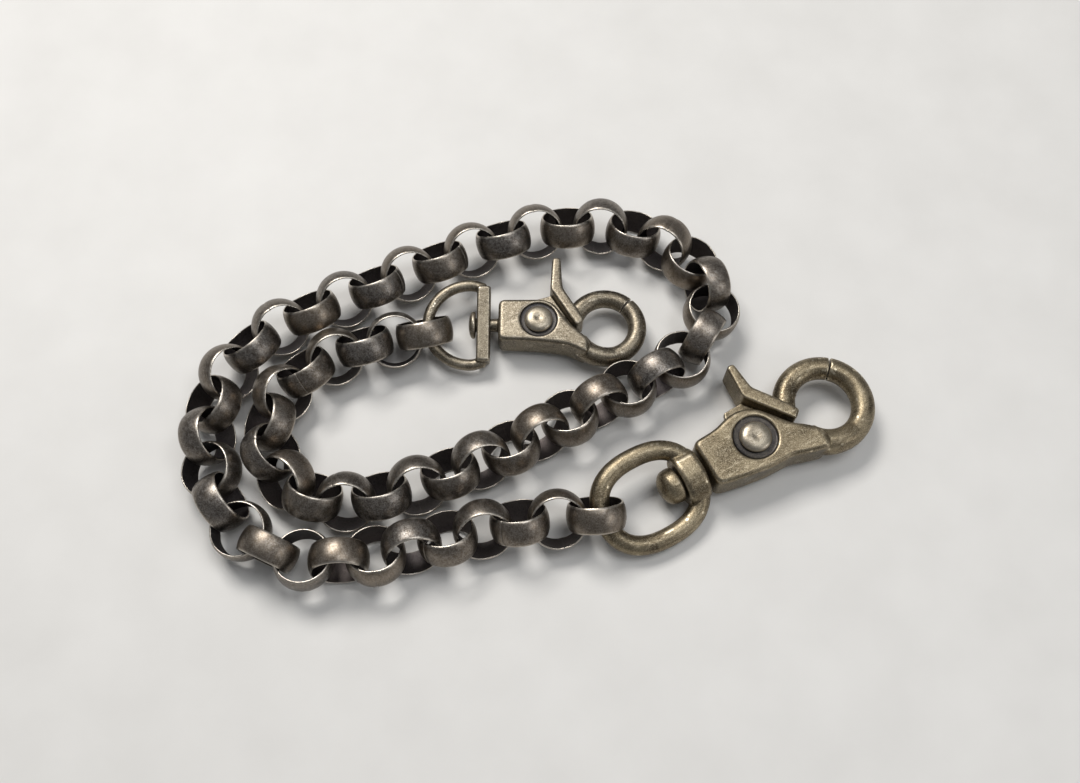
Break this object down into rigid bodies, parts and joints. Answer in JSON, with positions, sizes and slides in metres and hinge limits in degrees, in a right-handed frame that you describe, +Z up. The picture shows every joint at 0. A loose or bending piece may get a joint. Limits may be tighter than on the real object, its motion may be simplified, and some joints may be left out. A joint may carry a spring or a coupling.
{
  "type": "wallet chain",
  "caption": "Rolo chain of domed ring links with a trigger swivel snap hook at each end, one larger than the other, lying folded back on itself in a flat coil.",
  "frame": {"origin": "middle of the bounding box, on the surface that the coil lies on", "axes": "+X along the coil toward the large hook, +Y across the coil toward the outer bend, +Z up from the surface"},
  "size_m": [0.1506, 0.0944, 0.0132],
  "materials": {
    "link": "dark gunmetal plating with worn, mottled patina",
    "casting": "antique brass plating, dark in the recesses and bright on worn edges",
    "rivet": "antique brass, polished by wear",
    "spring": "plain spring wire"
  },
  "bodies": {
    "large_body": {"large_body": "casting", "large_rivet": "rivet", "large_spring": "spring"},
    "large_eye": {"large_eye": "casting"},
    "large_gate": {"large_gate": "casting"},
    "link_01": {"link_01": "link"},
    "link_02": {"link_02": "link"},
    "link_03": {"link_03": "link"},
    "link_04": {"link_04": "link"},
    "link_05": {"link_05": "link"},
    "link_06": {"link_06": "link"},
    "link_07": {"link_07": "link"},
    "link_08": {"link_08": "link"},
    "link_09": {"link_09": "link"},
    "link_10": {"link_10": "link"},
    "link_11": {"link_11": "link"},
    "link_12_13": {"link_12_13": "link"},
    "link_14": {"link_14": "link"},
    "link_15": {"link_15": "link"},
    "link_16_17": {"link_16_17": "link"},
    "link_18": {"link_18": "link"},
    "link_19": {"link_19": "link"},
    "link_20": {"link_20": "link"},
    "link_21": {"link_21": "link"},
    "link_22": {"link_22": "link"},
    "link_23": {"link_23": "link"},
    "link_24": {"link_24": "link"},
    "link_25": {"link_25": "link"},
    "link_26": {"link_26": "link"},
    "link_27": {"link_27": "link"},
    "link_28": {"link_28": "link"},
    "link_29": {"link_29": "link"},
    "link_30": {"link_30": "link"},
    "link_31_32": {"link_31_32": "link"},
    "link_33": {"link_33": "link"},
    "link_34_35": {"link_34_35": "link"},
    "link_36": {"link_36": "link"},
    "link_37_38": {"link_37_38": "link"},
    "link_39": {"link_39": "link"},
    "link_40": {"link_40": "link"},
    "link_41": {"link_41": "link"},
    "link_42": {"link_42": "link"},
    "link_43": {"link_43": "link"},
    "link_44": {"link_44": "link"},
    "link_45": {"link_45": "link"},
    "link_46": {"link_46": "link"},
    "link_47": {"link_47": "link"},
    "link_48": {"link_48": "link"},
    "link_49": {"link_49": "link"},
    "link_50": {"link_50": "link"},
    "link_51": {"link_51": "link"},
    "link_52": {"link_52": "link"},
    "link_53_54": {"link_53_54": "link"},
    "link_55": {"link_55": "link"},
    "link_56": {"link_56": "link"},
    "small_body": {"small_body": "casting", "small_rivet": "rivet", "small_spring": "spring"},
    "small_eye": {"small_eye": "casting"},
    "small_gate": {"small_gate": "casting"}
  },
  "joints": [
    {"name": "large_gate_pivot", "type": "hinge", "parent": "large_body", "child": "large_gate", "pos_m": [0.04813, -0.01072, 0.0055], "axis": [0, 0, 1], "range_deg": [0, 24], "stiffness_Nm_per_rad": 0.02, "springref_deg": -20.05},
    {"name": "small_gate_pivot", "type": "hinge", "parent": "small_body", "child": "small_gate", "pos_m": [0.00073, 0.01578, 0.0047], "axis": [0, 0, 1], "range_deg": [0, 24], "stiffness_Nm_per_rad": 0.02, "springref_deg": -20.05},
    {"name": "large_swivel", "type": "hinge", "parent": "large_eye", "child": "large_body", "pos_m": [0.04813, -0.01072, 0.0055], "axis": [0.8572, 0.515, 0], "continuous": true},
    {"name": "small_swivel", "type": "hinge", "parent": "small_eye", "child": "small_body", "pos_m": [0.00073, 0.01578, 0.0047], "axis": [0.9994, 0.0349, 0], "continuous": true},
    {"name": "large_eye_hang", "type": "hinge", "parent": "link_56", "child": "large_eye", "pos_m": [0.01582, -0.02821, 0.0061], "axis": [0.3749, -0.8627, -0.3394], "range_deg": [-80, 80]},
    {"name": "small_eye_hang", "type": "hinge", "parent": "link_01", "child": "small_eye", "pos_m": [-0.02395, 0.01333, 0.00442], "axis": [0.211, -0.9624, -0.1709], "range_deg": [-20, 80]},
    {"name": "link_01_pivot", "type": "hinge", "parent": "link_02", "child": "link_01", "pos_m": [-0.02785, 0.01114, 0.00602], "axis": [-0.2616, 0.9652, 0], "range_deg": [-22, 2.8]},
    {"name": "link_56_pivot", "type": "hinge", "parent": "link_55", "child": "link_56", "pos_m": [0.01059, -0.02913, 0.00615], "axis": [0.1334, -0.9911, 0], "range_deg": [-11, 5.5]},
    {"name": "link_02_pivot", "type": "hinge", "parent": "link_03", "child": "link_02", "pos_m": [-0.03438, 0.00927, 0.00595], "axis": [0.3173, -0.9483, 0], "range_deg": [-22, 22]},
    {"name": "link_55_pivot", "type": "hinge", "parent": "link_53_54", "child": "link_55", "pos_m": [0.00259, -0.03028, 0.00606], "axis": [-0.1673, 0.9859, 0], "range_deg": [-20.7, 20.7]},
    {"name": "link_03_pivot", "type": "hinge", "parent": "link_04", "child": "link_03", "pos_m": [-0.0408, 0.00681, 0.00625], "axis": [-0.4241, 0.9056, 0], "range_deg": [-22, 22]},
    {"name": "link_53_54_pivot", "type": "hinge", "parent": "link_52", "child": "link_53_54", "pos_m": [-0.01262, -0.03372, 0.006], "axis": [0.2674, -0.9636, 0], "range_deg": [-25, 20.7]},
    {"name": "link_04_pivot", "type": "hinge", "parent": "link_05", "child": "link_04", "pos_m": [-0.04693, 0.00338, 0.00619], "axis": [0.5829, -0.8126, 0], "range_deg": [-22, 22]},
    {"name": "link_52_pivot", "type": "hinge", "parent": "link_51", "child": "link_52", "pos_m": [-0.01993, -0.03589, 0.00604], "axis": [-0.2872, 0.9579, 0], "range_deg": [-6.4, 14.7]},
    {"name": "link_05_pivot", "type": "hinge", "parent": "link_06", "child": "link_05", "pos_m": [-0.05213, -0.00132, 0.00635], "axis": [-0.7895, 0.6138, 0], "range_deg": [-22, 22]},
    {"name": "link_51_pivot", "type": "hinge", "parent": "link_50", "child": "link_51", "pos_m": [-0.02722, -0.03809, 0.00607], "axis": [0.2637, -0.9646, 0], "range_deg": [-25, 12.9]},
    {"name": "link_06_pivot", "type": "hinge", "parent": "link_07", "child": "link_06", "pos_m": [-0.05534, -0.00739, 0.00636], "axis": [0.9622, -0.2722, 0], "range_deg": [-22, 22]},
    {"name": "link_50_pivot", "type": "hinge", "parent": "link_49", "child": "link_50", "pos_m": [-0.03457, -0.03989, 0.0061], "axis": [-0.1717, 0.9851, 0], "range_deg": [-7.4, 12.9]},
    {"name": "link_07_pivot", "type": "hinge", "parent": "link_08", "child": "link_07", "pos_m": [-0.05579, -0.01424, 0.00638], "axis": [-0.988, -0.1546, 0], "range_deg": [-22, 22]},
    {"name": "link_49_pivot", "type": "hinge", "parent": "link_48", "child": "link_49", "pos_m": [-0.04196, -0.04067, 0.0062], "axis": [-0.0058, -1, 0], "range_deg": [-25, 11]},
    {"name": "link_08_pivot", "type": "hinge", "parent": "link_09", "child": "link_08", "pos_m": [-0.05325, -0.02065, 0.00638], "axis": [0.8276, 0.5614, 0], "range_deg": [-22, 22]},
    {"name": "link_48_pivot", "type": "hinge", "parent": "link_47", "child": "link_48", "pos_m": [-0.04932, -0.03981, 0.00621], "axis": [0.2525, 0.9676, 0], "range_deg": [-16.6, 12.9]},
    {"name": "link_09_pivot", "type": "hinge", "parent": "link_10", "child": "link_09", "pos_m": [-0.0482, -0.0254, 0.00637], "axis": [-0.5112, -0.8594, 0], "range_deg": [-22, 22]},
    {"name": "link_47_pivot", "type": "hinge", "parent": "link_46", "child": "link_47", "pos_m": [-0.05617, -0.03696, 0.00608], "axis": [-0.5269, -0.8499, 0], "range_deg": [-25, 4.6]},
    {"name": "link_10_pivot", "type": "hinge", "parent": "link_11", "child": "link_10", "pos_m": [-0.04165, -0.02756, 0.00636], "axis": [0.1285, 0.9917, 0], "range_deg": [-22, 20.7]},
    {"name": "link_46_pivot", "type": "hinge", "parent": "link_45", "child": "link_46", "pos_m": [-0.06176, -0.0321, 0.00611], "axis": [0.7615, 0.6481, 0], "range_deg": [-16.6, 25]},
    {"name": "link_11_pivot", "type": "hinge", "parent": "link_12_13", "child": "link_11", "pos_m": [-0.03445, -0.02712, 0.00624], "axis": [0.1714, -0.9852, 0], "range_deg": [-22, 16.6]},
    {"name": "link_45_pivot", "type": "hinge", "parent": "link_44", "child": "link_45", "pos_m": [-0.06576, -0.02565, 0.0061], "axis": [-0.9034, -0.4287, 0], "range_deg": [-25, 4.6]},
    {"name": "link_12_13_pivot", "type": "hinge", "parent": "link_14", "child": "link_12_13", "pos_m": [-0.02006, -0.02212, 0.00609], "axis": [-0.399, 0.9169, 0], "range_deg": [-22, 22]},
    {"name": "link_44_pivot", "type": "hinge", "parent": "link_43", "child": "link_44", "pos_m": [-0.06826, -0.01837, 0.00609], "axis": [0.9756, 0.2198, 0], "range_deg": [-16.6, 25]},
    {"name": "link_14_pivot", "type": "hinge", "parent": "link_15", "child": "link_14", "pos_m": [-0.01344, -0.01904, 0.00617], "axis": [0.4397, -0.8982, 0], "range_deg": [-18.4, 22]},
    {"name": "link_43_pivot", "type": "hinge", "parent": "link_42", "child": "link_43", "pos_m": [-0.06911, -0.01082, 0.00619], "axis": [-0.9997, 0.0242, 0], "range_deg": [-20.7, 12.9]},
    {"name": "link_15_pivot", "type": "hinge", "parent": "link_16_17", "child": "link_15", "pos_m": [-0.00713, -0.01579, 0.00602], "axis": [-0.4739, 0.8806, 0], "range_deg": [-22, 22]},
    {"name": "link_42_pivot", "type": "hinge", "parent": "link_41", "child": "link_42", "pos_m": [-0.0679, -0.00333, 0.00608], "axis": [0.9548, -0.2973, 0], "range_deg": [-25, 25]},
    {"name": "link_16_17_pivot", "type": "hinge", "parent": "link_18", "child": "link_16_17", "pos_m": [0.00526, -0.0086, 0.00604], "axis": [0.5192, -0.8546, 0], "range_deg": [-20.7, 22]},
    {"name": "link_41_pivot", "type": "hinge", "parent": "link_40", "child": "link_41", "pos_m": [-0.0646, 0.00362, 0.00628], "axis": [-0.8394, 0.5435, 0], "range_deg": [-20.7, 18.4]},
    {"name": "link_18_pivot", "type": "hinge", "parent": "link_19", "child": "link_18", "pos_m": [0.01154, -0.00473, 0.00609], "axis": [-0.5183, 0.8552, 0], "range_deg": [-22, 9.2]},
    {"name": "link_40_pivot", "type": "hinge", "parent": "link_39", "child": "link_40", "pos_m": [-0.05964, 0.00944, 0.00624], "axis": [0.6853, -0.7283, 0], "range_deg": [-25, 18.4]},
    {"name": "link_19_pivot", "type": "hinge", "parent": "link_20", "child": "link_19", "pos_m": [0.01787, -0.00095, 0.00609], "axis": [0.5023, -0.8647, 0], "range_deg": [-18.4, 22]},
    {"name": "link_39_pivot", "type": "hinge", "parent": "link_37_38", "child": "link_39", "pos_m": [-0.05352, 0.01404, 0.00622], "axis": [-0.5484, 0.8362, 0], "range_deg": [-25, 18.4]},
    {"name": "link_20_pivot", "type": "hinge", "parent": "link_21", "child": "link_20", "pos_m": [0.02414, 0.00259, 0.00606], "axis": [-0.5127, 0.8586, 0], "range_deg": [-22, 16.6]},
    {"name": "link_37_38_pivot", "type": "hinge", "parent": "link_36", "child": "link_37_38", "pos_m": [-0.03978, 0.02147, 0.00613], "axis": [0.4571, -0.8894, 0], "range_deg": [-23, 23]},
    {"name": "link_21_pivot", "type": "hinge", "parent": "link_22", "child": "link_21", "pos_m": [0.03009, 0.00634, 0.00617], "axis": [0.612, -0.7909, 0], "range_deg": [-18.4, 22]},
    {"name": "link_36_pivot", "type": "hinge", "parent": "link_34_35", "child": "link_36", "pos_m": [-0.03282, 0.02504, 0.00614], "axis": [-0.4555, 0.8903, 0], "range_deg": [-23, 23]},
    {"name": "link_22_pivot", "type": "hinge", "parent": "link_23", "child": "link_22", "pos_m": [0.03521, 0.01116, 0.00618], "axis": [-0.7875, 0.6163, 0], "range_deg": [-20.7, 20.7]},
    {"name": "link_34_35_pivot", "type": "hinge", "parent": "link_33", "child": "link_34_35", "pos_m": [-0.01888, 0.032, 0.00615], "axis": [0.4263, -0.9046, 0], "range_deg": [-23, 23]},
    {"name": "link_23_pivot", "type": "hinge", "parent": "link_24", "child": "link_23", "pos_m": [0.03861, 0.01721, 0.00607], "axis": [0.9549, -0.2968, 0], "range_deg": [-9.2, 22]},
    {"name": "link_33_pivot", "type": "hinge", "parent": "link_31_32", "child": "link_33", "pos_m": [-0.01179, 0.03522, 0.00616], "axis": [-0.3869, 0.9221, 0], "range_deg": [-23, 25]},
    {"name": "link_24_pivot", "type": "hinge", "parent": "link_25", "child": "link_24", "pos_m": [0.03921, 0.02382, 0.00614], "axis": [-0.9902, -0.1397, 0], "range_deg": [-22, 7.4]},
    {"name": "link_31_32_pivot", "type": "hinge", "parent": "link_30", "child": "link_31_32", "pos_m": [0.00279, 0.04007, 0.00604], "axis": [0.2017, -0.9794, 0], "range_deg": [-25, 25]},
    {"name": "link_25_pivot", "type": "hinge", "parent": "link_26", "child": "link_25", "pos_m": [0.03676, 0.03012, 0.00613], "axis": [0.8449, 0.5349, 0], "range_deg": [-7.4, 22]},
    {"name": "link_30_pivot", "type": "hinge", "parent": "link_29", "child": "link_30", "pos_m": [0.01032, 0.04108, 0.00619], "axis": [-0.0431, 0.9991, 0], "range_deg": [-23, 14.7]},
    {"name": "link_26_pivot", "type": "hinge", "parent": "link_27", "child": "link_26", "pos_m": [0.03189, 0.03526, 0.0061], "axis": [-0.6098, -0.7925, 0], "range_deg": [-22, 18.4]},
    {"name": "link_29_pivot", "type": "hinge", "parent": "link_28", "child": "link_29", "pos_m": [0.01797, 0.04072, 0.00604], "axis": [-0.1492, -0.9888, 0], "range_deg": [-18.4, 25]},
    {"name": "link_27_pivot", "type": "hinge", "parent": "link_28", "child": "link_27", "pos_m": [0.02539, 0.03881, 0.00606], "axis": [0.3669, 0.9303, 0], "range_deg": [-7.4, 22]}
  ]
}
